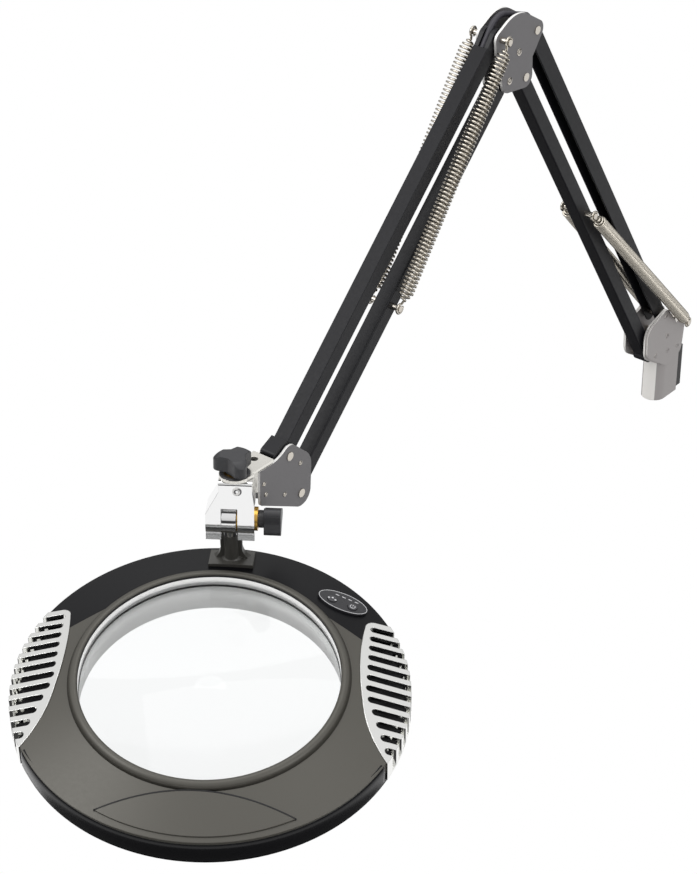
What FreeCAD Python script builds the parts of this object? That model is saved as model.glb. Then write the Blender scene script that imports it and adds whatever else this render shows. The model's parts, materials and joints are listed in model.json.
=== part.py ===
import FreeCAD, Part
import math
import os

# Spring-balanced magnifying lamp, in millimetres.  The swivel bore of the base rises from the origin,
# Z is up, the two arms move in the plane x = 0 and reach toward -Y, where the round head hangs.
# Points in the arm plane are written (y, z); angles there turn from +Y toward +Z.

V = FreeCAD.Vector
OUT = "parts"

# ---- driving dimensions -------------------------------------------------------------------------
BORE_R = 6.4
BORE_DEPTH = 38.0
BUSHING_R = 8.0
BUSHING_TOP = 40.0
TURN_GAP = 0.05
FACE_GAP = 0.3

SLEEVE_R = 10.8
SLEEVE_SHEET = 1.6
SLEEVE_HEIGHT = 42.0
SLEEVE_DEPTH = 20.0
EAR_SHEET = 1.6

FRONT_PIVOT = (-21.0, 52.0)
LINK = 36.5
LINK_ANGLE = 70.0
ARM = 400.0
ARM_ANGLE = 122.9
FOREARM = 350.0
FOREARM_ANGLE = 224.6
FORE_LINK = 40.2
FORE_LINK_ANGLE = -70.35
ELBOW_OFFSET = (-35.1, 41.7)
ARM_ANCHOR = 216.6
ARM_SPRING_PIN = (39.4, 19.7)
FORE_ANCHOR = 194.0

TUBE = 12.7
TUBE_WALL = 1.2
CHANNEL_HEIGHT = 13.6
CHANNEL_WALL = 1.3
PIN_R = 2.4
PLATE_IN = 7.3
PLATE = 2.0

SWIVEL_Y = -573.6
TILT_Z = 152.0
SWIVEL_TURN = 34.8
TILT_TURN = 14.9
STUD_R = 4.0
TAB_Z = 187.5
TAB_SHEET = 2.5

STEM_SIDE = -4.0
HEAD_SIDE = -9.4
HEAD_REACH = 117.0
HEAD_DROP = 37.1
LENS_R = 95.25
LIP_R = 93.4
BEZEL_R = 97.0
RIM_R = 140.0
DECK_R = 138.0
RIM_WIDE = 1.014
RIM_DEEP = 0.961
DECK_DROP = 17.0
SHELL = 2.5
HEAD_HEIGHT = 38.0


# ---- helpers ------------------------------------------------------------------------------------
def add(a, b):
    return (a[0] + b[0], a[1] + b[1])


def minus(a, b):
    return (a[0] - b[0], a[1] - b[1])


def polar(start, length, degrees):
    turn = math.radians(degrees)
    return (start[0] + length * math.cos(turn), start[1] + length * math.sin(turn))


def belt(circles):
    """Face at x = 0 inside a belt drawn round circles (y, z, r) listed anticlockwise."""
    count = len(circles)
    normals = []
    for i in range(count):
        y0, z0, r0 = circles[i]
        y1, z1, r1 = circles[(i + 1) % count]
        lean = math.asin((r0 - r1) / math.hypot(y1 - y0, z1 - z0))
        normals.append(math.atan2(z1 - z0, y1 - y0) - math.pi / 2 + lean)

    def touch(i, angle):
        y, z, r = circles[i % count]
        return V(0, y + r * math.cos(angle), z + r * math.sin(angle))

    edges = []
    for i in range(count):
        start = normals[i - 1]
        sweep = (normals[i] - start) % (2 * math.pi)
        edges.append(Part.Arc(touch(i, start), touch(i, start + sweep / 2), touch(i, start + sweep)).toShape())
        edges.append(Part.makeLine(touch(i, normals[i]), touch(i + 1, normals[i])))
    return Part.Face(Part.Wire(edges))


def slab(face, x0, x1):
    """A face at x = 0 made solid from x0 to x1."""
    moved = face.translated(V(x0, 0, 0))
    return moved.extrude(V(x1 - x0, 0, 0))


def join(*shapes):
    whole = shapes[0].fuse(list(shapes[1:]))
    return whole.removeSplitter()


def rod(radius, x0, x1, point=(0.0, 0.0)):
    """Round bar across the arm plane through (y, z)."""
    return Part.makeCylinder(radius, x1 - x0, V(x0, point[0], point[1]), V(1, 0, 0))


def post(radius, z0, z1, x=0.0, y=0.0):
    return Part.makeCylinder(radius, z1 - z0, V(x, y, z0))


def box(x0, x1, y0, y1, z0, z1):
    return Part.makeBox(x1 - x0, y1 - y0, z1 - z0, V(x0, y0, z0))


def along(shape, point, degrees):
    """Turn a piece whose length runs along +Y to the angle given, its origin at (y, z)."""
    placed = shape.copy()
    placed.rotate(V(0, 0, 0), V(1, 0, 0), degrees)
    placed.translate(V(0, point[0], point[1]))
    return placed


def ring(profile):
    """Solid of revolution round Z from corners (r, z)."""
    corners = [V(r, 0, z) for r, z in profile]
    face = Part.Face(Part.makePolygon(corners + corners[:1]))
    return face.revolve(V(0, 0, 0), V(0, 0, 1), 360)


def mirrored(shape):
    return shape.mirror(V(0, 0, 0), V(1, 0, 0))


def rounded_bar(y0, y1, half_x, half_z, corner):
    block = box(-half_x, half_x, y0, y1, -half_z, half_z)
    long_edges = [edge for edge in block.Edges if edge.BoundBox.YLength > 1]
    return block.makeFillet(corner, long_edges)


def save(name, shape):
    shape.exportStep(os.path.join(OUT, name + ".step"))


def save_pair(name, shape):
    """Write a piece on the +X side as NAME_near and its mirror image as NAME_far."""
    save(name + "_near", shape)
    save(name + "_far", mirrored(shape))


os.makedirs(OUT, exist_ok=True)

HALF = TUBE / 2
HIGH = CHANNEL_HEIGHT / 2
REAR_PIVOT = polar(FRONT_PIVOT, LINK, LINK_ANGLE)
FRONT_TOP = polar(FRONT_PIVOT, ARM, ARM_ANGLE)
REAR_TOP = polar(REAR_PIVOT, ARM, ARM_ANGLE)
ELBOW = add(FRONT_TOP, ELBOW_OFFSET)
ELBOW_LOW = polar(ELBOW, FORE_LINK, FORE_LINK_ANGLE)
HEAD_UP = polar(ELBOW, FOREARM, FOREARM_ANGLE)
HEAD_LOW = polar(ELBOW_LOW, FOREARM, FOREARM_ANGLE)
ARM_ANCHOR_AT = polar(FRONT_PIVOT, ARM_ANCHOR, ARM_ANGLE)
ARM_SPRING_AT = add(FRONT_PIVOT, ARM_SPRING_PIN)
FORE_ANCHOR_AT = polar(ELBOW_LOW, FORE_ANCHOR, FOREARM_ANGLE)


# ---- base: swivel bushing, sleeve, block and ears -----------------------------------------------
flange = post(BUSHING_R + 0.8, 0, 1.5)
bushing = join(flange, post(BUSHING_R, 0, BUSHING_TOP))
save("pin_bushing", bushing.cut(post(BORE_R, -1, BORE_DEPTH)))

EAR_IN = SLEEVE_R - SLEEVE_SHEET
EAR_OUT = SLEEVE_R + EAR_SHEET


def base_outline(grow):
    """Outline of the base ears, grown at the front by the amount given."""
    main = belt(
        [
            (19.0, -8.0, 8.5),
            (33.0, -4.5, 9.5),
            (30.0, 14.0, 5.0),
            (12.5, 34.3, 6.0),
            (-3.5, 22.0, 12.0 + grow),
            (-3.5, 10.5, 11.5 + grow),
        ]
    )
    horn = belt([(33.0, -4.5, 9.5), (39.4, 19.7, 6.0), (28.0, 12.0, 4.0)])
    return slab(main, EAR_IN, EAR_OUT).fuse(slab(horn, EAR_IN, EAR_OUT)).removeSplitter()


BASE_PINS = ((0.0, 0.0), minus(REAR_PIVOT, FRONT_PIVOT), (17.0, 12.9), ARM_SPRING_PIN)


def ear(grow, x0, x1):
    plate = base_outline(grow).common(box(x0, x1, -100, 100, -100, 100))
    for point in BASE_PINS:
        plate = plate.cut(rod(PIN_R, 0, 30, point))
    plate.translate(V(0, FRONT_PIVOT[0], FRONT_PIVOT[1]))
    return plate


tube_skin = post(SLEEVE_R, 0, SLEEVE_HEIGHT).cut(post(EAR_IN, -1, SLEEVE_HEIGHT + 1))
sleeve = tube_skin.common(box(-20, 20, -20, 0, 0, SLEEVE_HEIGHT))
for side in (-1, 1):
    wall_x = sorted((side * EAR_IN, side * SLEEVE_R))
    sleeve = sleeve.fuse(box(wall_x[0], wall_x[1], 0, SLEEVE_DEPTH, 0, SLEEVE_HEIGHT + 4))
inner_ear = ear(1.5, EAR_IN, SLEEVE_R)
save("base_sleeve", join(sleeve, inner_ear, mirrored(inner_ear)))
save_pair("base_ear", ear(0.0, SLEEVE_R, EAR_OUT))

BLOCK_R = EAR_IN - 0.05
block = join(post(BLOCK_R, 2, 41), box(-BLOCK_R, BLOCK_R, 0, 31, 2, 41))
block_edges = [e for e in block.Edges if abs(e.BoundBox.YMin - 31) < 0.01 and e.BoundBox.ZLength > 5]
block = block.makeFillet(2.5, block_edges)
save("socket_block", block.cut(post(BUSHING_R + TURN_GAP, 0, BUSHING_TOP + 0.3)))


def shouldered_pin(point, end, tube_half, wall_in):
    """Pin across the ears with a spacer on either side of the bar it carries."""
    pin = rod(PIN_R, -end, end, point)
    for side in (-1, 1):
        near, far = sorted((side * (tube_half + FACE_GAP), side * wall_in))
        pin = pin.fuse(rod(4.6, near, far, point))
    return pin.removeSplitter()


save("base_front_pin", shouldered_pin(FRONT_PIVOT, EAR_OUT, HALF, EAR_IN))
save("base_rear_pin", shouldered_pin(REAR_PIVOT, EAR_OUT, HALF, EAR_IN))
bolt_at = add(FRONT_PIVOT, BASE_PINS[2])
save("base_bolt", join(rod(PIN_R, -EAR_OUT, EAR_OUT, bolt_at), rod(3.6, -EAR_IN, EAR_IN, bolt_at)))
ARM_SPRING_X = 18.8
ANCHOR_X = 15.0
save("lower_spring_pin", rod(PIN_R, -ARM_SPRING_X - 1.4, ARM_SPRING_X + 1.4, ARM_SPRING_AT))


# ---- bars of the two arms -----------------------------------------------------------------------
def drilled(bar, stations, radius):
    for y in stations:
        bar = bar.cut(rod(radius, -20, 20, (y, 0.0)))
    return bar


def square_tube(y0, y1):
    """Square tube whose side walls end in half circles."""
    outer = rounded_bar(y0, y1, HALF, HALF, 1.2)
    inner = HALF - TUBE_WALL
    outer = outer.cut(box(-inner, inner, y0 - 1, y1 + 1, -inner, inner))
    ends = belt([(y0 + HALF, 0, HALF), (y1 - HALF, 0, HALF)])
    return outer.common(slab(ends, -HALF, HALF))


def channel(y0, y1, round_r):
    """Channel open on its +Z side; round_r rounds both ends, 0 leaves them square."""
    outer = rounded_bar(y0, y1, HALF, HIGH, 0.6)
    inner = HALF - CHANNEL_WALL
    outer = outer.cut(box(-inner, inner, y0 - 1, y1 + 1, -HIGH + CHANNEL_WALL, HIGH + 1))
    if round_r:
        ends = belt([(y0 + round_r, 0, round_r), (y1 - round_r, 0, round_r)])
        outer = outer.common(slab(ends, -HALF, HALF))
    return outer


EYE_R = 7.4
front_tube = square_tube(0, ARM + HALF)
front_tube = front_tube.cut(rod(EYE_R - 1, -HALF, HALF)).fuse(rod(EYE_R, -HALF, HALF)).removeSplitter()
front_tube = drilled(front_tube, (0, ARM), PIN_R + TURN_GAP)
front_tube = drilled(front_tube, (ARM_ANCHOR,), PIN_R)
save("lower_front_tube", along(front_tube, FRONT_PIVOT, ARM_ANGLE))
save("lower_anchor_pin", rod(PIN_R, -ANCHOR_X - 1.4, ANCHOR_X + 1.4, ARM_ANCHOR_AT))

rear_bar = channel(-10, ARM + HIGH + 0.2, HIGH)
rear_bar = rear_bar.cut(box(-4, 4, ARM - 18, ARM + 20, -HIGH - 1, -HIGH + 2))
rear_bar = drilled(rear_bar, (0, ARM), PIN_R + TURN_GAP)
save("lower_rear_channel", along(rear_bar, REAR_PIVOT, ARM_ANGLE))

CHANNEL_START = 12.0
CHANNEL_END = FOREARM - 8.0
upper_bar = channel(CHANNEL_START, CHANNEL_END, 0)
save("fore_upper_channel", along(upper_bar, ELBOW, FOREARM_ANGLE))

lower_bar = square_tube(-HALF - 1, FOREARM + HALF + 1.5)
lower_bar = drilled(lower_bar, (0, FOREARM), PIN_R + TURN_GAP)
lower_bar = drilled(lower_bar, (FORE_ANCHOR,), PIN_R)
save("fore_lower_tube", along(lower_bar, ELBOW_LOW, FOREARM_ANGLE))
FORE_ANCHOR_X = 13.4
FORE_SPRING_X = 16.4
save("fore_anchor_pin", rod(PIN_R, -FORE_ANCHOR_X - 1.2, FORE_ANCHOR_X + 1.2, FORE_ANCHOR_AT))

PLUG = HALF - CHANNEL_WALL - 0.1
PLUG_TOP = -HIGH + CHANNEL_WALL + 0.1
cheeks = slab(belt([(0, 0, 7.6), (CHANNEL_START + 5, 0.8, HIGH - 0.8)]), -HALF, HALF)
cheeks = cheeks.common(box(-HALF, HALF, -20, CHANNEL_START - 0.1, -20, 20))
plug = box(-PLUG, PLUG, CHANNEL_START - 0.2, CHANNEL_START + 30, PLUG_TOP, HIGH - 1)
groove = box(-2.7, 2.7, -20, CHANNEL_START + 40, -20, -1.9).fuse(
    box(-2.7, 2.7, CHANNEL_START - 8, CHANNEL_START + 40, -20, -0.2)
)
elbow_fitting = drilled(join(cheeks, plug).cut(groove), (0,), PIN_R + TURN_GAP)
save("fore_elbow_fitting", along(elbow_fitting, ELBOW, FOREARM_ANGLE))

hood = slab(belt([(-12.0, -1.0, 7.4), (5.0, -12.0, 3.0), (1.5, 0.0, 7.6)]), -HALF, HALF)
hood = hood.common(box(-HALF, HALF, -7.9, 30, -20, 20))
tongue = box(-PLUG, PLUG, -38, -7.8, PLUG_TOP, HIGH - 1)
head_fitting = drilled(join(hood, tongue), (0,), PIN_R + TURN_GAP)
save("fore_head_fitting", along(head_fitting, HEAD_UP, FOREARM_ANGLE))


# ---- springs: closely wound coil envelopes with a loop at each end ------------------------------
def spring_end(length, coil_r):
    """Loop round the pin at the origin, its stem and the tapered last turns, ending at z = length."""
    loop = Part.makeTorus(PIN_R + 1.3, 0.8, V(0, 0, 0), V(1, 0, 0))
    stem = post(0.8, PIN_R + 0.9, length - 1)
    taper = Part.makeCone(1.6, coil_r, 3.0, V(0, 0, length - 3.0))
    return join(loop, stem, taper)


def spring(anchor, anchor_x, hook, hook_x, coil_r, wall):
    """Coil with its loop on the anchor pin, and the separate loop that pulls on the hook pin."""
    start = V(anchor_x, anchor[0], anchor[1])
    end = V(hook_x, hook[0], hook[1])
    run = (end - start).Length
    reach = (end - start) / run
    coil = post(coil_r, 9, run - 9.3).cut(post(coil_r - wall, 8, run))
    coil = join(coil, spring_end(9.0, coil_r))
    coil.Placement = FreeCAD.Placement(start, FreeCAD.Rotation(V(1, 0, 0), V(0, 1, 0), reach, "ZXY"))
    loop = spring_end(9.0, coil_r)
    loop.Placement = FreeCAD.Placement(end, FreeCAD.Rotation(V(1, 0, 0), V(0, 1, 0), -reach, "ZXY"))
    return coil, loop


arm_coil, arm_hook = spring(ARM_ANCHOR_AT, ANCHOR_X, ARM_SPRING_AT, ARM_SPRING_X, 5.6, 1.0)
save_pair("lower_spring", arm_coil)
save_pair("lower_hook", arm_hook)
fore_coil, fore_hook = spring(FORE_ANCHOR_AT, FORE_ANCHOR_X, ELBOW, FORE_SPRING_X, 6.15, 0.6)
save_pair("fore_spring", fore_coil)
save_pair("fore_hook", fore_hook)


# ---- elbow --------------------------------------------------------------------------------------
PLATE_OUT = PLATE_IN + PLATE
E_TOP = (20.0, -14.0, 28.0)
E_REAR = (47.6, -7.4, 8.0)
E_FRONT = (35.1, -41.7, 8.5)
E_LOW = (13.5, -37.8, 9.5)
E_PIVOT = (0.0, 0.0, 6.5)
E_BOLT = (24.6, -17.9)

elbow_plate = slab(belt([E_PIVOT, (20.0, -18.0, 24.0), E_REAR, E_TOP]), PLATE_IN, PLATE_OUT)
elbow_foot = slab(belt([E_LOW, E_FRONT, (22.0, -10.0, 20.0)]), PLATE_IN, PLATE_OUT)
elbow_plate = join(elbow_plate, elbow_foot)
elbow_plate.translate(V(0, ELBOW[0], ELBOW[1]))
for point in (ELBOW, REAR_TOP, FRONT_TOP, ELBOW_LOW, add(ELBOW, E_BOLT)):
    elbow_plate = elbow_plate.cut(rod(PIN_R, 0, 20, point))
save_pair("elbow_plate", elbow_plate)

save("elbow_spring_pin", rod(PIN_R, -FORE_SPRING_X - 1.8, FORE_SPRING_X + 1.8, ELBOW))
save("elbow_fore_pin", rod(PIN_R, -PLATE_OUT - 0.3, PLATE_OUT + 0.3, ELBOW_LOW))
for name, point in (("elbow_front_pin", FRONT_TOP), ("elbow_rear_pin", REAR_TOP)):
    pin = join(rod(PIN_R, -PLATE_OUT, PLATE_OUT, point), rod(3.4, PLATE_OUT, PLATE_OUT + 0.8, point))
    save(name, join(pin, rod(3.4, -PLATE_OUT - 0.8, -PLATE_OUT, point)))
elbow_bolt_at = add(ELBOW, E_BOLT)
elbow_bolt = join(rod(PIN_R, -PLATE_OUT, PLATE_OUT, elbow_bolt_at), rod(3.5, -PLATE_IN, PLATE_IN, elbow_bolt_at))
save("elbow_bolt", elbow_bolt)


def bent_path(points, radii):
    """Straight runs through points (y, z) joined by tangent arcs of the radii given."""
    edges = []
    here = V(0, *points[0])
    for i in range(1, len(points) - 1):
        corner = V(0, *points[i])
        back = (V(0, *points[i - 1]) - corner).normalize()
        ahead = (V(0, *points[i + 1]) - corner).normalize()
        half = back.getAngle(ahead) / 2
        trim = radii[i - 1] / math.tan(half)
        middle = (back + ahead).normalize() * (radii[i - 1] / math.sin(half))
        start = corner + back * trim
        end = corner + ahead * trim
        centre = corner + middle
        crown = centre - (back + ahead).normalize() * radii[i - 1]
        edges.append(Part.LineSegment(here, start).toShape())
        edges.append(Part.Arc(start, crown, end).toShape())
        here = end
    edges.append(Part.LineSegment(here, V(0, *points[-1])).toShape())
    return Part.Wire(edges)


CABLE_R = 2.1
CABLE_POINTS = ((-22.8, -18.2), (-12.15, -7.62), (6.0, 17.0), (53.0, 6.0), (54.5, -9.0))
CABLE_BENDS = (15.0, 16.0, 7.0)
cable_path = bent_path([add(ELBOW, p) for p in CABLE_POINTS], CABLE_BENDS)
first = cable_path.Edges[0]
section = Part.Wire(Part.makeCircle(CABLE_R, first.firstVertex().Point, first.tangentAt(0)))
cable = cable_path.makePipeShell([section], True, True)
print("elbow cable radius", CABLE_R, "bends", CABLE_BENDS)
save("elbow_cable", cable)


# ---- bracket that carries the head --------------------------------------------------------------
edges = [
    Part.makeLine(V(0, -22.0, 2.6), V(0, -34.0, 2.6)),
    Part.makeLine(V(0, -34.0, 2.6), V(0, -34.0, -24.0)),
    Part.Arc(V(0, -34.0, -24.0), V(0, -33.1, -26.3), V(0, -30.9, -27.7)).toShape(),
    Part.makeLine(V(0, -30.9, -27.7), V(0, 9.6, -48.1)),
    Part.makeLine(V(0, 9.6, -48.1), V(0, 8.0, -20.0)),
    Part.makeLine(V(0, 8.0, -20.0), V(0, 4.0, 8.0)),
    Part.makeLine(V(0, 4.0, 8.0), V(0, -5.2, 7.4)),
    Part.Arc(V(0, -5.2, 7.4), V(0, -12.5, 4.0), V(0, -22.0, 2.6)).toShape(),
]
bracket_front = slab(Part.Face(Part.Wire(edges)), PLATE_IN, PLATE_OUT)
bracket_rear = slab(belt([(13.5, -37.8, 11.0), (8.0, -18.0, 17.2), (0.0, 0.0, 9.0)]), PLATE_IN, PLATE_OUT)
bracket_plate = join(bracket_front, bracket_rear)
bracket_plate.translate(V(0, HEAD_UP[0], HEAD_UP[1]))
for point in (HEAD_UP, HEAD_LOW):
    bracket_plate = bracket_plate.cut(rod(PIN_R, 0, 20, point))
save_pair("bracket_plate", bracket_plate)

TAB_R = 11.5
tab_top = TAB_Z + TAB_SHEET
tab = post(TAB_R, TAB_Z, tab_top, 0, SWIVEL_Y)
tab = tab.fuse(box(-TAB_R, TAB_R, SWIVEL_Y, HEAD_UP[0] - 43, TAB_Z, tab_top))
tab = tab.fuse(box(-PLATE_OUT, PLATE_OUT, HEAD_UP[0] - 44, HEAD_UP[0] - 18.5, TAB_Z, tab_top))
web_y = HEAD_UP[0] - 31.5
web = box(-PLATE_IN, PLATE_IN, web_y, web_y + PLATE, HEAD_UP[1] - 18, TAB_Z)
tab = tab.cut(post(STUD_R + TURN_GAP, TAB_Z - 1, tab_top + 1, 0, SWIVEL_Y))
tab = tab.cut(post(3.0, TAB_Z - 1, tab_top + 1, -2.0, HEAD_UP[0] - 27))
save("bracket_web", join(tab, web))

for name, point in (("bracket_upper_pin", HEAD_UP), ("bracket_lower_pin", HEAD_LOW)):
    pin = join(rod(PIN_R, -PLATE_OUT, PLATE_OUT, point), rod(3.4, PLATE_OUT, PLATE_OUT + 0.8, point))
    save(name, join(pin, rod(3.4, -PLATE_OUT - 0.8, -PLATE_OUT, point)))

WASHER_TOP = tab_top + 1.5
washer = post(7.5, tab_top, WASHER_TOP, 0, SWIVEL_Y)
save("swivel_washer", washer.cut(post(STUD_R + TURN_GAP, tab_top - 1, WASHER_TOP + 1, 0, SWIVEL_Y)))


# ---- knuckle and yoke, drawn with x along the tilt axis and the origin on it -------------------
def at_yoke(shape):
    placed = shape.copy()
    placed.rotate(V(0, 0, 0), V(0, 0, 1), SWIVEL_TURN)
    placed.translate(V(0, SWIVEL_Y, TILT_Z))
    return placed


def at_head(shape):
    placed = shape.copy()
    placed.rotate(V(0, 0, 0), V(1, 0, 0), TILT_TURN)
    return at_yoke(placed)


YOKE_TOP = TAB_Z - TILT_Z - FACE_GAP
BARREL_R = 11.5
SLOT = (-9.5, 2.5)
KNUCKLE = (-9.2, 1.2)
STEM_R = 5.2
side_view = slab(belt([(0, 0, BARREL_R), (6.0, YOKE_TOP - 3.0, 3.0), (-6.0, YOKE_TOP - 3.0, 3.0)]), -21, 15)
front_corners = [
    (-20.7, -12.0),
    (14.7, -12.0),
    (14.7, 16.0),
    (13.2, 27.0),
    (13.2, YOKE_TOP),
    (-11.3, YOKE_TOP),
    (-11.3, 27.0),
    (-20.7, 9.0),
]
front_view = Part.Face(Part.makePolygon([V(x, -20, z) for x, z in front_corners + front_corners[:1]]))
yoke = side_view.common(front_view.extrude(V(0, 40, 0)))
for x0, x1 in ((-20.7, SLOT[0]), (SLOT[1], 14.7)):
    yoke = yoke.fuse(box(x0, x1, -9.0, 9.0, -13.5, -8.0))
slot = box(SLOT[0], SLOT[1], -20, 20, -20, BARREL_R + 2.0)
yoke = yoke.removeSplitter().cut(slot).cut(rod(STUD_R, -30, 30))
stud = post(STUD_R, YOKE_TOP - 1, WASHER_TOP - TILT_Z + 8.0)
save("yoke", at_yoke(yoke.fuse(stud).removeSplitter()))

TILT_BOLT_END = 30.0
save("tilt_bolt", at_yoke(rod(STUD_R, -21.2, TILT_BOLT_END)))
save("tilt_washer_inner", at_yoke(rod(9.5, 1.5, SLOT[1]).cut(rod(STUD_R, -30, 30))))
save("tilt_washer_outer", at_yoke(rod(8.8, 14.7, 16.7).cut(rod(STUD_R, -30, 30))))


def in_plan(face, height):
    """A face drawn in (y, z) laid down as (x, y) on z = 0 and raised by the height given."""
    flat = face.copy()
    flat.rotate(V(0, 0, 0), V(1, 1, 1), -120)
    return flat.extrude(V(0, 0, height))


def lobed(height, reach, lobe_r):
    """Three-lobed grip standing on z = 0."""
    lobes = []
    for turn in (90, 210, 330):
        x, y = polar((0, 0), reach, turn)
        lobes.append(in_plan(belt([(0, 0, 7.2), (x, y, lobe_r)]), height))
    return join(*lobes)


knob_base = WASHER_TOP + FACE_GAP
top_knob = join(post(7.0, 0, 3.0), lobed(12.0, 10.6, 5.0).translated(V(0, 0, 2.0)))
top_knob = top_knob.common(Part.makeSphere(20.5, V(0, 0, -3.5)))
top_knob = top_knob.cut(post(STUD_R + TURN_GAP, -1, 8.0))
top_knob.translate(V(0, SWIVEL_Y, knob_base))
save("swivel_knob", top_knob)

side_knob = join(post(6.5, 0, 4.5), lobed(12.4, 7.4, 4.4).translated(V(0, 0, 4.2)))
side_knob = side_knob.cut(post(STUD_R + TURN_GAP, -1, TILT_BOLT_END - 17.0 + FACE_GAP))
side_knob.rotate(V(0, 0, 0), V(0, 1, 0), 90)
side_knob.translate(V(17.0, 0, 0))
save("tilt_knob", at_yoke(side_knob))

knuckle = join(rod(11.3, KNUCKLE[0], KNUCKLE[1]), post(STEM_R - 0.1, -16.0, -2.0, STEM_SIDE, 0))
knuckle = knuckle.cut(rod(STUD_R + TURN_GAP, -30, 30))
save("tilt_knuckle", at_head(knuckle))


# ---- head: ring housings round the lens, drawn round Z with the lip plane at z = 0 -------------
def head_place(shape):
    placed = shape.copy()
    placed.translate(V(HEAD_SIDE, -HEAD_REACH, -HEAD_DROP))
    return at_head(placed)


BAND_Z = -28.0


def oval_rim(inset, z0, z1):
    """Oval prism of the rim's plan, drawn in from it by the inset given."""
    half_x = RIM_R * RIM_WIDE - inset
    half_y = RIM_R * RIM_DEEP - inset
    oval = Part.Ellipse(V(0, 0, z0), half_x, half_y).toShape()
    return Part.Face(Part.Wire(oval)).extrude(V(0, 0, z1 - z0))


def disc_above(slope_top, z0):
    """Solid of revolution filled from z0 up to corners (r, z) that run outward from the axis."""
    return ring(((0, z0), (0, slope_top[0][1])) + slope_top + ((slope_top[-1][0], z0),))


SLOPE = (DECK_DROP - 2.0) / (DECK_R - BEZEL_R)
FAR_R = 155.0
FAR_DROP = 2.0 + SLOPE * (FAR_R - BEZEL_R)
deck_top = ((LIP_R, 0), (BEZEL_R, 0), (BEZEL_R, -2.0), (FAR_R, -FAR_DROP))
deck_under = ((BEZEL_R, -2.0 - SHELL), (FAR_R, -FAR_DROP - SHELL))
bore = post(LIP_R, -60, 20)
whole = disc_above(deck_top, BAND_Z).common(oval_rim(0, -60, 20))
room = disc_above(deck_under, BAND_Z).common(oval_rim(SHELL, -60, 20))
cover = whole.cut(room).cut(bore)

TUB_IN = 96.0
TUB_WALL = 98.5
floor_plate = oval_rim(0, -32.0, -30.0).cut(post(TUB_IN, -60, 20))
outer_wall = oval_rim(0, -HEAD_HEIGHT, BAND_Z).cut(oval_rim(SHELL, -60, 20))
outer_lip = oval_rim(0, -HEAD_HEIGHT, -36.0).cut(oval_rim(8.0, -60, 20))
inner_wall = ring(
    (
        (TUB_WALL, -30.0), (TUB_WALL, -36.0), (103.8, -36.0), (103.8, -HEAD_HEIGHT), (TUB_IN, -HEAD_HEIGHT),
        (TUB_IN, -11.2), (92.6, -11.2), (92.6, -9.4), (TUB_IN, -9.0), (TUB_IN, -2.2 - SHELL),
        (TUB_WALL, -2.8 - SHELL),
    )
)
tub = join(floor_plate, outer_wall, outer_lip, inner_wall)

# plan outlines on the head, in (x, y) with +Y toward the stem
VENT_REAR = 66.0
vent_edges = [
    Part.makeLine(V(0, 155, -66), V(0, 155, VENT_REAR)),
    Part.makeLine(V(0, 155, VENT_REAR), V(0, 115, VENT_REAR)),
    Part.Arc(V(0, 115, VENT_REAR), V(0, 109.4, 64.2), V(0, 107, 59)).toShape(),
    Part.Arc(V(0, 107, 59), V(0, 105.4, 24), V(0, 109, -12)).toShape(),
    Part.Arc(V(0, 109, -12), V(0, 116.5, -39), V(0, 131, -61)).toShape(),
    Part.makeLine(V(0, 131, -61), V(0, 155, -66)),
]
vent_plan = in_plan(Part.Face(Part.Wire(vent_edges)), 60).translated(V(0, 0, -50))
vent_plans = (vent_plan, mirrored(vent_plan))

rear_edges = [
    Part.makeLine(V(0, 107, 44), V(0, 68, 68)),
    Part.makeLine(V(0, 68, 68), V(0, 0, 96.0)),
    Part.makeLine(V(0, 0, 96.0), V(0, -68, 68)),
    Part.makeLine(V(0, -68, 68), V(0, -107, 44)),
    Part.makeLine(V(0, -107, 44), V(0, -160, 44)),
    Part.makeLine(V(0, -160, 44), V(0, -160, 160)),
    Part.makeLine(V(0, -160, 160), V(0, 160, 160)),
    Part.makeLine(V(0, 160, 160), V(0, 160, 44)),
    Part.makeLine(V(0, 160, 44), V(0, 107, 44)),
]
rear_plan = in_plan(Part.Face(Part.Wire(rear_edges)), 60).translated(V(0, 0, -50))
rear_plan = rear_plan.cut(post(BEZEL_R + 2.5, -60, 20))
cover = cover.cut(vent_plans[0]).cut(vent_plans[1])
vent_wall = oval_rim(-4.0, -36.0, 10).cut(oval_rim(SHELL + 1.2, -60, 20))
for plan in vent_plans:
    tub = tub.cut(plan.common(vent_wall))
save("rear_deck", head_place(cover.common(rear_plan)))
save("top_housing", head_place(cover.cut(rear_plan)))
save("bottom_housing", head_place(tub))

VENT_PROUD = 0.8
skin_top = ((BEZEL_R, VENT_PROUD - 2.0), (FAR_R, VENT_PROUD - FAR_DROP))
skin_under = ((BEZEL_R, -2.0 - SHELL), (FAR_R, -FAR_DROP - SHELL))
vent_skin = disc_above(skin_top, -36.0).common(oval_rim(-1.0, -36.0, 10))
vent_skin = vent_skin.cut(disc_above(skin_under, -60.0).common(oval_rim(SHELL, -60, 20)))
vent_skin = vent_skin.cut(post(BEZEL_R, -60, 20))
SLOTS = 12
SLOT_PITCH = 9.7
SLOT_WIDE = 5.4
vent = vent_skin.common(vent_plan)
for i in range(SLOTS):
    y = VENT_REAR - 8.0 - SLOT_PITCH * i
    inner_end = 113.5 + 0.36 * max(0.0, -5.0 - y)
    cutter = box(inner_end, 155, y - SLOT_WIDE / 2, y + SLOT_WIDE / 2, -33.8, 5)
    vent = vent.cut(cutter).cut(post(SLOT_WIDE / 2, -33.8, 5, inner_end, y))
save("vent_right", head_place(vent))
save("vent_left", head_place(mirrored(vent)))

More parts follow.
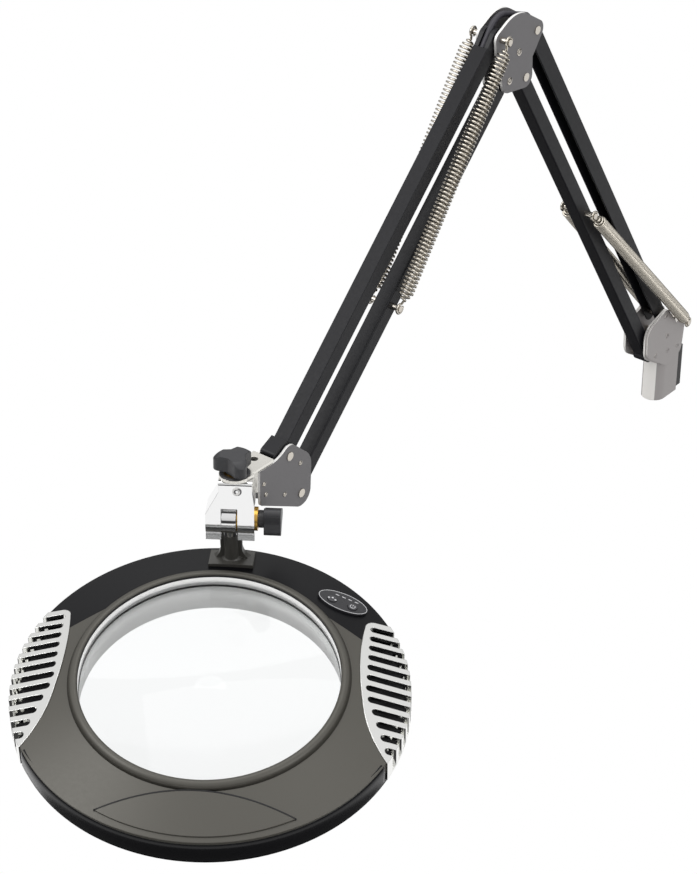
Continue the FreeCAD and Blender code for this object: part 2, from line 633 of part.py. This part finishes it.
pad_edges = [
    Part.Arc(V(0, -68.5, -112.6), V(0, 0, -101.0), V(0, 68.5, -112.6)).toShape(),
    Part.Arc(V(0, 68.5, -112.6), V(0, 0, -131.0), V(0, -68.5, -112.6)).toShape(),
]
pad_plan = in_plan(Part.Face(Part.Wire(pad_edges)), 40).translated(V(0, 0, -30))
pad_skin = ring(((BEZEL_R, -0.8), (DECK_R, 1.2 - DECK_DROP), (DECK_R, -DECK_DROP), (BEZEL_R, -2.0)))
save("thumb_pad", head_place(pad_skin.common(pad_plan)))

DECK_SLOPE = math.degrees(math.atan(SLOPE))
BADGE_TURN = 42.0
BADGE_SPIN = 32.0
BADGE_R = 120.0
BADGE_HALF = (19.0, 10.5)


def on_deck(shape):
    """Lay a piece drawn flat (x along the badge, y outward) on the sloping deck at the badge."""
    placed = shape.copy()
    placed.rotate(V(0, 0, 0), V(0, 0, 1), BADGE_SPIN)
    placed.rotate(V(0, 0, 0), V(1, 0, 0), -DECK_SLOPE)
    placed.translate(V(0, BADGE_R, -2.0 - (BADGE_R - BEZEL_R) * math.tan(math.radians(DECK_SLOPE))))
    placed.rotate(V(0, 0, 0), V(0, 0, 1), BADGE_TURN - 90)
    return head_place(placed)


oval = Part.Ellipse(V(0, 0, 0), BADGE_HALF[0], BADGE_HALF[1]).toShape()
badge = Part.Face(Part.Wire(oval)).extrude(V(0, 0, 1.6))
BUTTONS = {"dimmer_button": -8.0, "power_button": 8.0}
BUTTON_R = 3.4
for name, x in BUTTONS.items():
    badge = badge.cut(post(BUTTON_R + 0.35, 0.4, 5, x, -2.0))
    save(name, on_deck(post(BUTTON_R, 1.1, 2.4, x, -2.0)))
save("badge", on_deck(badge))

EDGE_TOP = -6.5
EDGE_LOW = -9.0
CROWN = 6.6
crown_r = (LENS_R ** 2 + CROWN ** 2) / (2 * CROWN)
lens = post(LENS_R, EDGE_LOW - CROWN, EDGE_TOP + CROWN)
lens = lens.common(Part.makeSphere(crown_r, V(0, 0, EDGE_TOP + CROWN - crown_r)))
lens = lens.common(Part.makeSphere(crown_r, V(0, 0, EDGE_LOW - CROWN + crown_r)))
save("lens", head_place(lens))
save("led_board", head_place(ring(((105, -32.2), (125, -32.2), (125, -33.8), (105, -33.8)))))
diffuser = oval_rim(8.2, -37.4, -35.0).cut(post(104.2, -60, 20))
save("diffuser", head_place(diffuser))
driver = box(-42, 42, 100, 123, -29.8, -28.2).fuse(box(-20, 4, 104, 119, -28.2, -20))
save("driver_board", head_place(driver.removeSplitter()))

foot = box(-16.5, 16.5, HEAD_REACH - 10, HEAD_REACH + 11, -14, -1.5)
foot = foot.common(ring(((0, -40), (150, -40), (150, 1.2 - DECK_DROP - 2.4), (BEZEL_R, 1.2), (0, 1.2))))
foot.translate(V(0, -HEAD_REACH, -HEAD_DROP))
under_deck = disc_above(deck_top, -60).translated(V(HEAD_SIDE, -HEAD_REACH, -HEAD_DROP))
stem = join(
    post(STEM_R, -42.0, -16.0),
    Part.makeCone(9.8, STEM_R, 5.0, V(0, 0, -45.5)),
    post(9.8, -47.0, -45.5),
)
web_side = [
    Part.makeLine(V(-15.5, 0, -46.5), V(15.5, 0, -46.5)),
    Part.Arc(V(15.5, 0, -46.5), V(9.4, 0, -39.5), V(8.0, 0, -30.0)).toShape(),
    Part.makeLine(V(8.0, 0, -30.0), V(8.0, 0, -16.5)),
    Part.makeLine(V(8.0, 0, -16.5), V(-8.0, 0, -16.5)),
    Part.makeLine(V(-8.0, 0, -16.5), V(-8.0, 0, -30.0)),
    Part.Arc(V(-8.0, 0, -30.0), V(-9.4, 0, -39.5), V(-15.5, 0, -46.5)).toShape(),
]
web_plate = Part.Face(Part.Wire(web_side)).extrude(V(0, 5.0, 0))
stem = join(stem, web_plate, foot)
stem = stem.translated(V(STEM_SIDE, 0, 0)).cut(under_deck)
save("head_stem", at_head(stem))
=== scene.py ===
import bpy
import json
import math
from mathutils import Matrix, Vector


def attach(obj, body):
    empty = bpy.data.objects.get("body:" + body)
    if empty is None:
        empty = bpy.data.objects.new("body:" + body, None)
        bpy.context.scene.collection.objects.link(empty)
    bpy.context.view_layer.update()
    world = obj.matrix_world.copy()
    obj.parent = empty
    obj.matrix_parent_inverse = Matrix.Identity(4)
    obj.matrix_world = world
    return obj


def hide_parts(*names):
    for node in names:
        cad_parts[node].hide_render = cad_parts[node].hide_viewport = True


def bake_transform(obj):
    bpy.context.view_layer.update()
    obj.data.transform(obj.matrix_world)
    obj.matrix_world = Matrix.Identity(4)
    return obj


# Spring-arm magnifying lamp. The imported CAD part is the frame; this script dresses it, adds the wound
# springs, the cable and the small trim, and sets the light and camera. Lengths are written in
# millimetres and turned into metres by MM.

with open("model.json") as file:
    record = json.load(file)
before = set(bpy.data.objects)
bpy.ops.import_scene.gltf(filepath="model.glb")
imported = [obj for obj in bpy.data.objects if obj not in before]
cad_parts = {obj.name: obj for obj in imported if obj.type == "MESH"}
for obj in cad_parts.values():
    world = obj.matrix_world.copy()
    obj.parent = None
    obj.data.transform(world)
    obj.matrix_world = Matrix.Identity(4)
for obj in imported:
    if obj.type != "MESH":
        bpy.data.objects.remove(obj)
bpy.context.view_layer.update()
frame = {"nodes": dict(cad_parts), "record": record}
MM = 0.001

# ---- places on the lamp, in the arm plane (y, z) -------------------------------------------------
ARM_TURN = math.radians(122.9)
FORE_TURN = math.radians(224.6)
SWIVEL_TURN = math.radians(34.8)
TILT_TURN = math.radians(14.9)
ARM = 400.0
FOREARM = 350.0
ARM_ANCHOR_AT = 216.6
FORE_ANCHOR_AT = 194.0


def step(start, length, turn):
    return (start[0] + length * math.cos(turn), start[1] + length * math.sin(turn))


FRONT_PIVOT = (-21.0, 52.0)
FRONT_TOP = step(FRONT_PIVOT, ARM, ARM_TURN)
ELBOW = (FRONT_TOP[0] - 35.1, FRONT_TOP[1] + 41.7)
ELBOW_LOW = step(ELBOW, 40.2, math.radians(-70.35))
HEAD_UP = step(ELBOW, FOREARM, FORE_TURN)
ARM_ANCHOR = step(FRONT_PIVOT, ARM_ANCHOR_AT, ARM_TURN)
ARM_SPRING = (FRONT_PIVOT[0] + 39.4, FRONT_PIVOT[1] + 19.7)
FORE_ANCHOR = step(ELBOW_LOW, FORE_ANCHOR_AT, FORE_TURN)
LENS_CENTRE = Vector((-9.4, -117.0, -37.1))
SWIVEL_Y = -573.6
TILT_Z = 152.0
TAB_TOP = 190.0
BEZEL_R = 97.0
DECK_SLOPE = 15.0 / 41.0

YOKE = Matrix.Translation((0, SWIVEL_Y, TILT_Z)) @ Matrix.Rotation(SWIVEL_TURN, 4, "Z")
HEAD = YOKE @ Matrix.Rotation(TILT_TURN, 4, "X") @ Matrix.Translation(LENS_CENTRE)
RIM_OVAL = (1.014, 0.961)
OVAL_HEAD = HEAD @ Matrix.Diagonal((*RIM_OVAL, 1.0, 1.0))


# ---- materials -----------------------------------------------------------------------------------
def material(name, color, rough, metal=0.0, grain=0.05, round_edge=0.0, edge_highlight=None, shine=0.5):
    """Procedural finish: noise varies the roughness, edges are eased by round_edge (mm).

    Sheet parts that lie across X show a pale painted highlight on their edge faces, in the colour given
    for the edges.
    """
    made = bpy.data.materials.new(name)
    made.use_nodes = True
    nodes = made.node_tree.nodes
    links = made.node_tree.links
    shader = nodes["Principled BSDF"]
    shader.inputs["Base Color"].default_value = (*color, 1.0)
    shader.inputs["Metallic"].default_value = metal
    shader.inputs["Specular IOR Level"].default_value = shine
    noise = nodes.new("ShaderNodeTexNoise")
    noise.inputs["Scale"].default_value = 400.0
    coords = nodes.new("ShaderNodeTexCoord")
    links.new(coords.outputs["Object"], noise.inputs["Vector"])
    spread = nodes.new("ShaderNodeMapRange")
    spread.inputs["To Min"].default_value = max(0.02, rough - grain)
    spread.inputs["To Max"].default_value = rough + grain
    links.new(noise.outputs["Fac"], spread.inputs["Value"])
    links.new(spread.outputs["Result"], shader.inputs["Roughness"])
    if round_edge:
        bevel = nodes.new("ShaderNodeBevel")
        bevel.samples = 4
        bevel.inputs["Radius"].default_value = round_edge * MM
        links.new(bevel.outputs["Normal"], shader.inputs["Normal"])
    # painted highlight: every face that does not face along X takes the pale edge colour instead of the
    # body colour
    if edge_highlight:
        parts = nodes.new("ShaderNodeSeparateXYZ")
        links.new(coords.outputs["Normal"], parts.inputs["Vector"])
        size = nodes.new("ShaderNodeMath")
        size.operation = "ABSOLUTE"
        links.new(parts.outputs["X"], size.inputs[0])
        flat = nodes.new("ShaderNodeMath")
        flat.operation = "GREATER_THAN"
        flat.inputs[1].default_value = 0.6
        links.new(size.outputs["Value"], flat.inputs[0])
        tone = nodes.new("ShaderNodeMix")
        tone.data_type = "RGBA"
        tone.inputs["A"].default_value = (*edge_highlight, 1.0)
        tone.inputs["B"].default_value = (*color, 1.0)
        links.new(flat.outputs["Value"], tone.inputs["Factor"])
        links.new(tone.outputs["Result"], shader.inputs["Base Color"])
    return made


# sleeve_steel and plate_grey carry a pale painted highlight on their sheet edges
FINISH = {
    "sleeve_steel": material(
        "sleeve_steel", (0.36, 0.34, 0.335), 0.45, 0.45, round_edge=0.4, edge_highlight=(0.85, 0.83, 0.80)
    ),
    "black_block": material("black_block", (0.012, 0.012, 0.013), 0.5, round_edge=0.6),
    "bushing": material("bushing", (0.02, 0.02, 0.02), 0.5),
    "pin_steel": material("pin_steel", (0.62, 0.58, 0.52), 0.25, 1.0, round_edge=0.3),
    "bar_black": material(
        "bar_black", (0.010, 0.010, 0.012), 0.45, grain=0.08, round_edge=0.5, shine=0.22
    ),
    "fitting_black": material(
        "fitting_black", (0.012, 0.012, 0.014), 0.4, round_edge=0.6, shine=0.3
    ),
    "spring_nickel": material("spring_nickel", (0.60, 0.56, 0.49), 0.26, 1.0),
    "plate_grey": material(
        "plate_grey", (0.17, 0.165, 0.17), 0.5, 0.25, edge_highlight=(0.85, 0.84, 0.82)
    ),
    "web_bright": material("web_bright", (0.80, 0.78, 0.73), 0.22, 0.9, round_edge=0.4),
    "cable_black": material("cable_black", (0.035, 0.033, 0.042), 0.5),
    "yoke_chrome": material(
        "yoke_chrome", (0.88, 0.88, 0.88), 0.08, 1.0, grain=0.02, round_edge=0.5
    ),
    "washer_brass": material("washer_brass", (0.62, 0.37, 0.08), 0.3, 1.0),
    "knob_black": material("knob_black", (0.03, 0.03, 0.033), 0.42, grain=0.08, round_edge=1.2),
    "stem_black": material("stem_black", (0.06, 0.058, 0.052), 0.4, round_edge=0.8),
    "cover_bronze": material("cover_bronze", (0.078, 0.074, 0.063), 0.42, 0.3, round_edge=0.8),
    "deck_black": material("deck_black", (0.004, 0.004, 0.005), 0.33, round_edge=0.6, shine=0.16),
    "board_green": material("board_green", (0.02, 0.12, 0.05), 0.5),
    "diffuser_white": material("diffuser_white", (0.85, 0.85, 0.84), 0.5),
    "vent_chrome": material(
        "vent_chrome", (0.86, 0.86, 0.84), 0.10, 1.0, grain=0.03, round_edge=0.6
    ),
    "badge_black": material("badge_black", (0.022, 0.022, 0.025), 0.3, round_edge=0.3),
    "button_black": material("button_black", (0.05, 0.05, 0.055), 0.4, round_edge=0.3),
}
GLOSS = material("rim_gloss", (0.006, 0.006, 0.007), 0.25, round_edge=0.8, shine=0.3)
LINER = material("liner_white", (0.92, 0.92, 0.91), 0.45)
INK = material("badge_ink", (0.55, 0.55, 0.56), 0.5)
# near-black painted shade, used for the dark ring at the lens edge and for the grip groove line
SHADE = material("groove_painted_shade", (0.006, 0.006, 0.007), 0.6)


def lens_glass():
    """Clear glass with a faint gloss at grazing angles; noise varies the gloss roughness."""
    made = bpy.data.materials.new("lens_glass")
    made.use_nodes = True
    nodes = made.node_tree.nodes
    links = made.node_tree.links
    clear = nodes.new("ShaderNodeBsdfTransparent")
    clear.inputs["Color"].default_value = (0.975, 0.98, 0.98, 1.0)
    gloss = nodes.new("ShaderNodeBsdfGlossy")
    rim = nodes.new("ShaderNodeFresnel")
    rim.inputs["IOR"].default_value = 1.28
    noise = nodes.new("ShaderNodeTexNoise")
    noise.inputs["Scale"].default_value = 3.0
    tint = nodes.new("ShaderNodeMapRange")
    tint.inputs["To Min"].default_value = 0.02
    tint.inputs["To Max"].default_value = 0.04
    links.new(noise.outputs["Fac"], tint.inputs["Value"])
    links.new(tint.outputs["Result"], gloss.inputs["Roughness"])
    mix = nodes.new("ShaderNodeMixShader")
    links.new(rim.outputs["Fac"], mix.inputs["Fac"])
    links.new(clear.outputs["BSDF"], mix.inputs[1])
    links.new(gloss.outputs["BSDF"], mix.inputs[2])
    links.new(mix.outputs["Shader"], nodes["Material Output"].inputs["Surface"])
    return made


FINISH["lens_glass"] = lens_glass()
for entry in frame["record"]["subparts"]:
    mesh = frame["nodes"][entry["node"]].data
    mesh.materials.clear()
    mesh.materials.append(FINISH[entry["material_slot"]])


# ---- mesh helpers --------------------------------------------------------------------------------
def add_mesh(name, points, faces, finish, body, place=Matrix.Identity(4), smooth=True):
    """A mesh given in millimetres, moved by place, riding on a body."""
    mesh = bpy.data.meshes.new(name)
    mesh.from_pydata([(place @ Vector(p)) * MM for p in points], [], faces)
    mesh.polygons.foreach_set("use_smooth", [smooth] * len(mesh.polygons))
    mesh.materials.append(finish)
    made = bpy.data.objects.new(name, mesh)
    bpy.context.collection.objects.link(made)
    if body:
        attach(made, body)
    return made


def sweep(name, path, radius, finish, body=None, place=Matrix.Identity(4), sides=8):
    """Round wire along a path of points."""
    path = [Vector(p) for p in path]
    points = []
    faces = []
    across = None
    for i, here in enumerate(path):
        ahead = (path[min(i + 1, len(path) - 1)] - path[max(i - 1, 0)]).normalized()
        if across is None:
            across = ahead.orthogonal().normalized()
        across = (across - ahead * across.dot(ahead)).normalized()
        other = ahead.cross(across)
        for k in range(sides):
            turn = 2 * math.pi * k / sides
            points.append(here + (across * math.cos(turn) + other * math.sin(turn)) * radius)
    for i in range(len(path) - 1):
        for k in range(sides):
            a = i * sides + k
            b = i * sides + (k + 1) % sides
            faces.append((a, b, b + sides, a + sides))
    faces.append(tuple(range(sides))[::-1])
    faces.append(tuple(len(points) - sides + k for k in range(sides)))
    return add_mesh(name, points, faces, finish, body, place)


def lathe(name, profile, finish, body, place, first=0.0, last=360.0, steps=160):
    """Profile (r, z) turned round Z from one angle to another, in degrees."""
    whole = last - first >= 360.0
    columns = steps if whole else steps + 1
    points = []
    faces = []
    count = len(profile)
    for i in range(columns):
        turn = math.radians(first + (last - first) * i / steps)
        for r, z in profile:
            points.append((r * math.cos(turn), r * math.sin(turn), z))
    for i in range(steps):
        near = i * count
        far = ((i + 1) % columns) * count
        for k in range(count):
            m = (k + 1) % count
            faces.append((near + k, far + k, far + m, near + m))
    if not whole:
        faces.append(tuple(range(count)))
        faces.append(tuple(steps * count + k for k in range(count))[::-1])
    return add_mesh(name, points, faces, finish, body, place)


def disc(name, radius, height, finish, body, place, hollow=0.0, steps=32):
    """Flat disc with a bevelled top edge, or a ring when hollow is given."""
    shoulder = height * 0.6
    crown = radius * 0.9
    profile = [(hollow, 0.0), (radius, 0.0), (radius, shoulder), (crown, height), (hollow, height)]
    return lathe(name, profile, finish, body, place, steps=steps)


def facing_x(x, point, side=1):
    """Place for a piece whose +Z becomes +X (or -X) at (x, y, z)."""
    return Matrix.Translation((x, point[0], point[1])) @ Matrix.Rotation(side * math.pi / 2, 4, "Y")


# ---- wound springs -------------------------------------------------------------------------------
def wound(name, anchor, hook, coil_r, wire_r, turns, stands_for):
    """Spring wire: a loop round the anchor pin, tapering coils, and a loop round the hook pin."""
    start = Vector(anchor)
    end = Vector(hook)
    run = (end - start).length
    reach = (end - start) / run
    side = (Vector((1, 0, 0)) - reach * reach.x).normalized()
    up = reach.cross(side)
    loop_r = 3.7
    loop_points = 14
    path = []
    for i in range(loop_points):
        turn = math.pi * 0.25 + i * math.pi * 1.75 / (loop_points - 1)
        path.append(start + reach * (loop_r * math.cos(turn)) + up * (loop_r * math.sin(turn)))
    per_turn = 14
    first = 6.5  # from the pin to the first turn
    body_run = run - 2 * first
    for i in range(turns * per_turn + 1):
        share = i / (turns * per_turn)
        taper = min(1.0, 0.25 + min(share, 1 - share) * turns / 2.5)
        angle = 2 * math.pi * share * turns
        radial = up * math.cos(angle) + side * math.sin(angle)
        path.append(start + reach * (first + body_run * share) + radial * (coil_r - wire_r) * taper)
    for i in range(loop_points):
        turn = math.pi * 1.75 * (loop_points - 1 - i) / (loop_points - 1) + math.pi * 0.25
        path.append(end - reach * (loop_r * math.cos(turn)) + up * (loop_r * math.sin(turn)))
    made = sweep(name, path, wire_r, FINISH["spring_nickel"], sides=6)
    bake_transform(made)
    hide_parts(*stands_for)


for tag, side in (("near", 1), ("far", -1)):
    wound(
        "lower_spring_coil_" + tag,
        (side * 15.0, *ARM_ANCHOR),
        (side * 18.8, *ARM_SPRING),
        coil_r=5.6,
        wire_r=1.0,
        turns=96,
        stands_for=("lower_spring_" + tag, "lower_hook_" + tag),
    )
    wound(
        "fore_spring_coil_" + tag,
        (side * 13.4, *FORE_ANCHOR),
        (side * 16.4, *ELBOW),
        coil_r=6.1,
        wire_r=0.95,
        turns=64,
        stands_for=("fore_spring_" + tag, "fore_hook_" + tag),
    )


# ---- cable over the elbow ------------------------------------------------------------------------
def smooth_path(corners, bends, spacing=1.5):
    """Straight runs through (y, z) corners, joined by arcs of the radii given."""
    path = []
    corners = [Vector((0, y, z)) for y, z in corners]
    path.append(corners[0])
    for i in range(1, len(corners) - 1):
        back = (corners[i - 1] - corners[i]).normalized()
        ahead = (corners[i + 1] - corners[i]).normalized()
        half = back.angle(ahead) / 2
        trim = bends[i - 1] / math.tan(half)
        centre = corners[i] + (back + ahead).normalized() * (bends[i - 1] / math.sin(half))
        first = corners[i] + back * trim - centre
        last = corners[i] + ahead * trim - centre
        steps = max(3, int(first.angle(last) * bends[i - 1] / spacing))
        across = (last - first * (first.dot(last) / first.length_squared)).normalized() * first.length
        for k in range(steps + 1):
            turn = first.angle(last) * k / steps
            path.append(centre + first * math.cos(turn) + across * math.sin(turn))
    path.append(corners[-1])
    full = []
    for a, b in zip(path, path[1:]):
        parts = max(1, int((b - a).length / spacing))
        full += [a.lerp(b, k / parts) for k in range(parts)]
    return full + [path[-1]]


cable_corners = [(-22.8, -18.2), (-12.15, -7.62), (6.0, 17.0), (47.0, 2.6), (54.0, -9.0)]
cable_corners = [(ELBOW[0] + y, ELBOW[1] + z) for y, z in cable_corners]
CABLE_BENDS = (15.0, 16.0, 7.0)
CABLE_R = 2.35
cable = sweep("cable_over_elbow", smooth_path(cable_corners, CABLE_BENDS), CABLE_R,
              FINISH["cable_black"], sides=12)
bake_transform(cable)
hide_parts("elbow_cable")

# ---- small metal trim ----------------------------------------------------------------------------
STEEL = FINISH["pin_steel"]
PLATE_X = 9.3
BASE_X = 12.4
base_spots = ((35.3, -4.5), (19.6, -2.6), (17.0, 12.9), (0.0, 0.0), (12.5, 34.3))
for index, spot in enumerate(base_spots):
    where = (FRONT_PIVOT[0] + spot[0], FRONT_PIVOT[1] + spot[1])
    for side in (-1, 1):
        disc("base_rivet_%d_%d" % (index, side), 2.2, 0.35, FINISH["sleeve_steel"], "base",
             facing_x(side * BASE_X, where, side))
elbow_spots = ((24.6, -17.9), (13.5, -37.8))
for index, spot in enumerate(elbow_spots):
    where = (ELBOW[0] + spot[0], ELBOW[1] + spot[1])
    disc("elbow_rivet_%d" % index, 3.0, 0.5, STEEL, "elbow", facing_x(PLATE_X, where))
bracket_spots = ((12.3, -11.5), (-29.4, -9.8), (-6.0, -29.9), (-27.5, -19.5))
for index, spot in enumerate(bracket_spots):
    where = (HEAD_UP[0] + spot[0], HEAD_UP[1] + spot[1])
    for side in (-1, 1):
        disc("bracket_rivet_%d_%d" % (index, side), 1.9, 0.5, STEEL, "head_bracket",
             facing_x(side * PLATE_X, where, side))
front_face = YOKE @ Matrix.Translation((2.3, -8.8, 28.0)) @ Matrix.Rotation(math.pi / 2, 4, "X")
disc("yoke_screw", 3.4, 1.2, FINISH["plate_grey"], "yoke", front_face, hollow=1.2)
# black disc on the tab top under the knob: painted shade where the knob and washer shadow the tab
tab_shade_place = Matrix.Translation((0, SWIVEL_Y, TAB_TOP))
disc("tab_shade_disc", 11.2, 1.0, FINISH["knob_black"], "head_bracket", tab_shade_place, hollow=7.6, steps=48)

# ---- head trim -----------------------------------------------------------------------------------
band = [
    (137.9, -16.9), (140.2, -18.2), (141.0, -22.0), (141.0, -34.0), (139.5, -37.6),
    (136.5, -38.4), (136.5, -30.0),
]
lathe("rim_band", band, GLOSS, "head", OVAL_HEAD, 207.0, 333.0)
bezel = [
    (93.5, -1.5), (93.5, 0.6), (94.6, 1.4), (96.2, 1.4), (98.4, 0.4), (100.6, -3.0), (98.0, -3.4),
]
lathe("lens_bezel", bezel, FINISH["cover_bronze"], "head", HEAD)
# dark ring where the bezel meets the lens: painted shade at the lens opening's inner edge
edge_shade = [(93.3, -2.6), (93.3, -0.2), (93.6, 0.3), (94.4, 0.3), (94.4, -2.6)]
lathe("bezel_edge_shade", edge_shade, SHADE, "head", HEAD)
liner = [(95.9, -12.0), (95.2, -12.0), (95.2, -37.9), (95.9, -37.9)]
lathe("inner_wall_liner", liner, LINER, "head", HEAD)
seat = [(93.2, -1.6), (93.0, -1.6), (93.0, -12.0), (95.2, -12.0), (95.2, -11.6), (93.2, -11.6)]
lathe("lens_seat_liner", seat, LINER, "head", HEAD)

# groove along the grip's lens-side edge, drawn as a dark line of painted shade: an arc centred out
# beyond the grip, laid on the sloping deck
GRIP_HALF = 69.5
GRIP_ARC_R = 208.0
GRIP_ARC_Y = -308.2
sweep_arc = []
for i in range(41):
    x = -GRIP_HALF + 2 * GRIP_HALF * i / 40
    y = GRIP_ARC_Y + math.sqrt(GRIP_ARC_R ** 2 - x ** 2)
    sweep_arc.append((x, y, -1.65 - (math.hypot(x, y) - BEZEL_R) * DECK_SLOPE))
sweep("pad_groove", sweep_arc, 0.75, SHADE, "head", HEAD)


# ---- badge: rim, three dots, a power sign and four dashes ----------------------------------------
BADGE_R = 120.0
BADGE_TURN = math.radians(42.0 - 90.0)
BADGE_SPIN = math.radians(32.0)
slope = math.atan(DECK_SLOPE)
BADGE = (
    HEAD
    @ Matrix.Rotation(BADGE_TURN, 4, "Z")
    @ Matrix.Translation((0, BADGE_R, -2.0 - (BADGE_R - BEZEL_R) * DECK_SLOPE))
    @ Matrix.Rotation(-slope, 4, "X")
    @ Matrix.Rotation(BADGE_SPIN, 4, "Z")
)
outline = []
for i in range(65):
    turn = 2 * math.pi * i / 64
    outline.append((18.6 * math.cos(turn), 10.1 * math.sin(turn), 1.6))
sweep("badge_rim", outline, 0.25, INK, "head", BADGE, sides=6)
for i in range(3):
    dot = BADGE @ Matrix.Translation((-10.6 + 2.6 * i, -2.0 + (0.9 if i == 1 else -0.5), 2.4))
    disc("dimmer_dot_%d" % i, 0.85, 0.12, INK, "dimmer_button", dot, steps=16)
ringed = []
for i in range(25):
    turn = math.radians(125 + 290 * i / 24)
    ringed.append((8.0 + 1.9 * math.cos(turn), -2.0 + 1.9 * math.sin(turn), 2.45))
sweep("power_ring", ringed, 0.28, INK, "power_button", BADGE, sides=6)
sweep("power_bar", [(8.0, -1.6, 2.45), (8.0, 0.4, 2.45)], 0.28, INK, "power_button", BADGE, sides=6)
for i in range(4):
    mark = [(-7.5 + 5.0 * i, 5.4, 1.65), (-4.6 + 5.0 * i, 5.4, 1.65)]
    sweep("badge_mark_%d" % i, mark, 0.4, INK, "head", BADGE, sides=6)

# ---- light, background and camera ----------------------------------------------------------------
world = bpy.data.worlds.new("studio")
bpy.context.scene.world = world
world.use_nodes = True
sky = world.node_tree.nodes
wires = world.node_tree.links
coords = sky.new("ShaderNodeTexCoord")
split = sky.new("ShaderNodeSeparateXYZ")
height = sky.new("ShaderNodeMapRange")
height.inputs["From Min"].default_value = -1.0
ramp = sky.new("ShaderNodeValToRGB")
wires.new(coords.outputs["Generated"], split.inputs["Vector"])
wires.new(split.outputs["Z"], height.inputs["Value"])
wires.new(height.outputs["Result"], ramp.inputs["Fac"])
wires.new(ramp.outputs["Color"], sky["Background"].inputs["Color"])
stops = ramp.color_ramp.elements
stops[0].position = 0.0
stops[0].color = (0.05, 0.05, 0.05, 1.0)
stops[1].position = 1.0
stops[1].color = (0.85, 0.85, 0.86, 1.0)
# (place, grey) from straight down at 0 to straight up at 1: white where the camera looks, dark at the
# horizon, pale above
SKY = ((0.13, 0.06), (0.15, 1.0), (0.36, 1.0), (0.39, 0.05), (0.55, 0.04), (0.60, 0.70), (0.80, 0.80))
for place, grey in SKY:
    stop = stops.new(place)
    stop.color = (grey, grey, grey, 1.0)


def area_light(name, at, aim, size, power):
    lamp = bpy.data.lights.new(name, "AREA")
    lamp.size = size
    lamp.energy = power
    made = bpy.data.objects.new(name, lamp)
    made.location = at
    made.rotation_euler = (Vector(aim) - Vector(at)).to_track_quat("-Z", "Y").to_euler()
    bpy.context.collection.objects.link(made)


area_light("key", (-0.9, -1.9, 1.9), (0.0, -0.4, 0.2), 1.2, 20.0)
area_light("side", (1.9, -0.6, 1.0), (0.0, -0.3, 0.2), 1.0, 9.0)
area_light("top", (0.1, -0.3, 2.2), (0.0, -0.4, 0.2), 1.4, 12.0)

TURN = math.radians(37.831)
RISE = math.radians(30.731)
ROLL = math.radians(0.696)
FOCAL = 146.98
EYE = (1.1334, -1.9005, 1.2576)
back = Vector((math.cos(RISE) * math.sin(TURN), -math.cos(RISE) * math.cos(TURN), math.sin(RISE)))
level = Vector((math.cos(TURN), math.sin(TURN), 0))
upright = back.cross(level)
right = level * math.cos(ROLL) + upright * math.sin(ROLL)
top = upright * math.cos(ROLL) - level * math.sin(ROLL)
lens_data = bpy.data.cameras.new("camera")
lens_data.sensor_fit = "HORIZONTAL"
lens_data.sensor_width = 36.0
lens_data.lens = FOCAL
lens_data.dof.use_dof = False
lens_data.clip_end = 20.0
camera = bpy.data.objects.new("camera", lens_data)
spin = Matrix((right, top, back)).transposed().to_4x4()
camera.matrix_world = Matrix.Translation(EYE) @ spin
bpy.context.collection.objects.link(camera)
scene = bpy.context.scene
scene.camera = camera
scene.view_settings.view_transform = "Standard"
scene.view_settings.look = "None"
scene.cycles.max_bounces = 8
scene.cycles.transparent_max_bounces = 12
